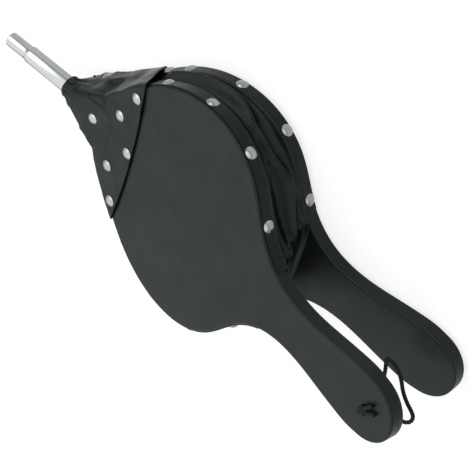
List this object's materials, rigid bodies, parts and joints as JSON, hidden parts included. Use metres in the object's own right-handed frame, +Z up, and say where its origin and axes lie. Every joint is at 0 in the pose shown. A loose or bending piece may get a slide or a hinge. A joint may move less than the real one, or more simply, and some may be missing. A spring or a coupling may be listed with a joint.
{
  "type": "fireplace bellows",
  "caption": "Hand bellows for a fireplace: two painted wooden boards with handles, nailed leather gusset, leather nose wrap, metal blow pipe and a hanging cord.",
  "frame": {"origin": "centre of the footprint, on the floor that the lower board's nails touch", "axes": "+X along the blow pipe, +Z up from the lower board to the upper board, +Y to the left seen from the handles"},
  "size_m": [0.4412, 0.2066, 0.0885],
  "materials": {
    "painted_board": "satin black paint on smooth board",
    "bare_wood": "bare beech",
    "black_leather": "smooth black leather, soft gloss",
    "inner_leather": "undyed flesh side",
    "nail_nickel": "nickel plated, softly polished",
    "pipe_metal": "brushed lengthwise",
    "steel": "plain zinc steel",
    "black_cord": "twisted waxed cord"
  },
  "bodies": {
    "lower": {"lower_board": "painted_board", "nose_block": "bare_wood", "blow_pipe": "pipe_metal", "block_screws": "steel", "hinge_strip": "inner_leather", "nose_wrap": "black_leather", "gusset": "black_leather", "flap_margin": "inner_leather", "flap_tacks": "steel", "lower_band_left": "black_leather", "lower_band_right": "black_leather", "lower_edge_nails_left": "nail_nickel", "lower_edge_nails_right": "nail_nickel", "wrap_nails_lower": "nail_nickel", "block_nail": "nail_nickel", "nose_side_nails": "nail_nickel", "wrap_corner_nails": "nail_nickel"},
    "upper": {"upper_board": "painted_board", "nose_wrap_rear": "black_leather", "upper_band_left": "black_leather", "upper_band_right": "black_leather", "upper_edge_nails_left": "nail_nickel", "upper_edge_nails_right": "nail_nickel", "wrap_nails_upper": "nail_nickel", "hanging_cord": "black_cord", "cord_knot": "black_cord"},
    "flap": {"intake_flap": "inner_leather"}
  },
  "joints": [
    {"name": "board_hinge", "type": "hinge", "parent": "lower", "child": "upper", "pos_m": [0.114, 0, 0.0318], "axis": [0, 1, 0], "range_deg": [-7.5, 12], "deforming": ["gusset", "hinge_strip", "hanging_cord"]},
    {"name": "flap_hinge", "type": "hinge", "parent": "lower", "child": "flap", "pos_m": [0.0235, 0, 0.0169], "axis": [0, 1, 0], "range_deg": [0, 9]}
  ]
}
